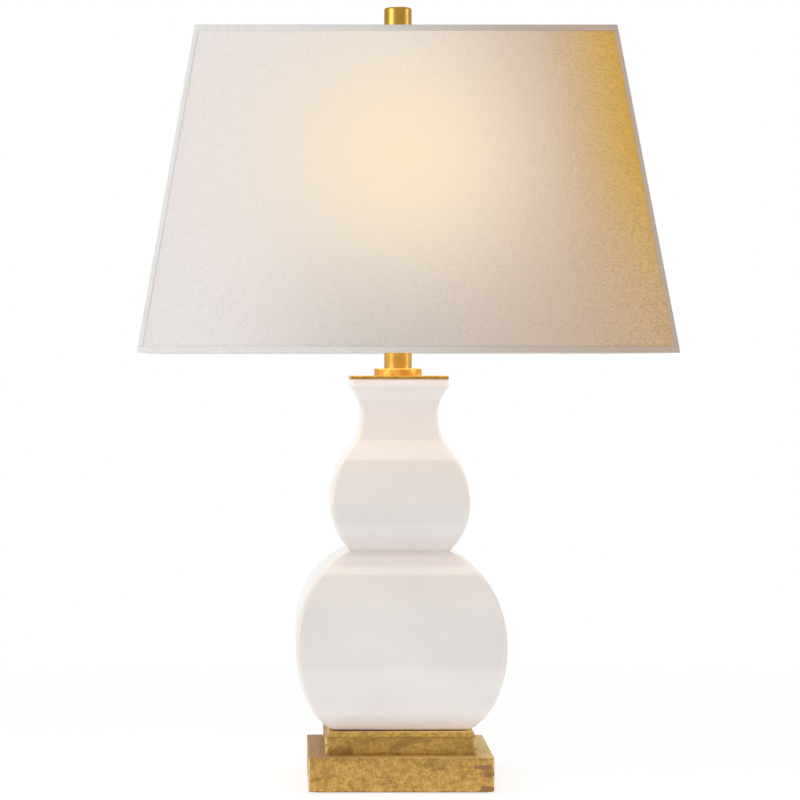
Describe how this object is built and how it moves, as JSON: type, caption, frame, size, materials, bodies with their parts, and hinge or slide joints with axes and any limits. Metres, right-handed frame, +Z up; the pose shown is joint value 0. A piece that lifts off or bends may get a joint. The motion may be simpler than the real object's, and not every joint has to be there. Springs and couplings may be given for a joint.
{
  "type": "table lamp",
  "caption": "Table lamp with a white glazed gourd body of square plan on a gilded stepped base, with a square tapered paper shade on a harp.",
  "frame": {"origin": "centre of the foot on the table top", "axes": "+Z up along the lamp's axis, -Y towards the front, +X to the right as seen from the front"},
  "size_m": [0.3812, 0.3812, 0.5897],
  "materials": {
    "felt": "felt",
    "gold_leaf": "gilded, worn",
    "black_plastic": "matte",
    "steel": "zinc plated",
    "rubber": "pale silicone",
    "white_glaze": "gloss glaze",
    "brass": "polished",
    "fibre": "fibre board",
    "bulb_glass": "clear",
    "nickel": "nickel plated",
    "black_insulator": "vitrified",
    "shade_paper": "natural paper",
    "shade_tape": "tape",
    "frame_wire": "white powder coat"
  },
  "bodies": {
    "lamp_stand": {"felt_pad": "felt", "base_block": "gold_leaf", "base_tier": "gold_leaf", "cord_bushing": "black_plastic", "threaded_rod": "steel", "rod_nut": "steel", "lock_washer": "steel", "rod_washer": "steel", "body_gasket": "rubber", "gourd_body": "white_glaze", "plate_gasket": "rubber", "locating_plug": "steel", "top_plate": "brass", "collar": "brass", "neck_tube": "brass", "harp_saddle": "brass", "harp": "brass", "socket_cap": "brass", "cap_set_screw": "steel", "socket_shell": "brass", "socket_liner": "fibre", "socket_core": "black_plastic", "terminal_screws": "brass", "screw_shell": "brass", "centre_contact": "brass"},
    "switch": {"switch_shaft": "brass", "switch_knob": "black_plastic"},
    "bulb": {"bulb_globe": "bulb_glass", "bulb_cap": "nickel", "bulb_insulator": "black_insulator", "bulb_tip": "brass", "bulb_stem": "bulb_glass", "bulb_filament": "nickel"},
    "sleeve_left": {"harp_sleeve_left": "brass"},
    "sleeve_right": {"harp_sleeve_right": "brass"},
    "swivel_stud": {"harp_stud": "brass"},
    "shade": {"shade_panel_front": "shade_paper", "shade_panel_right": "shade_paper", "shade_panel_back": "shade_paper", "shade_panel_left": "shade_paper", "shade_top_trim": "shade_tape", "shade_bottom_trim": "shade_tape", "shade_corner_tape_front_right": "shade_tape", "shade_corner_tape_back_right": "shade_tape", "shade_corner_tape_back_left": "shade_tape", "shade_corner_tape_front_left": "shade_tape", "shade_top_frame": "frame_wire", "shade_bottom_ring": "frame_wire", "shade_corner_wires": "frame_wire"},
    "finial": {"finial": "brass"}
  },
  "joints": [
    {"name": "switch_turn", "type": "hinge", "parent": "lamp_stand", "child": "switch", "pos_m": [0, 0, 0.3725], "axis": [0, -1, 0], "continuous": true},
    {"name": "bulb_turn", "type": "hinge", "parent": "lamp_stand", "child": "bulb", "pos_m": [0, 0, 0.3795], "axis": [0, 0, 1], "continuous": true},
    {"name": "sleeve_left_slide", "type": "slide", "parent": "lamp_stand", "child": "sleeve_left", "axis": [0, 0, 1], "range_m": [0, 0.014]},
    {"name": "sleeve_right_slide", "type": "slide", "parent": "lamp_stand", "child": "sleeve_right", "axis": [0, 0, 1], "range_m": [0, 0.014]},
    {"name": "shade_swivel", "type": "hinge", "parent": "lamp_stand", "child": "swivel_stud", "pos_m": [0, 0, 0.5537], "axis": [0, 0, 1], "continuous": true},
    {"name": "shade_lift", "type": "slide", "parent": "swivel_stud", "child": "shade", "axis": [0, 0, 1], "range_m": [0, 0.24]},
    {"name": "finial_turn", "type": "hinge", "parent": "shade", "child": "finial", "pos_m": [0, 0, 0.5577], "axis": [0, 0, 1], "continuous": true}
  ]
}
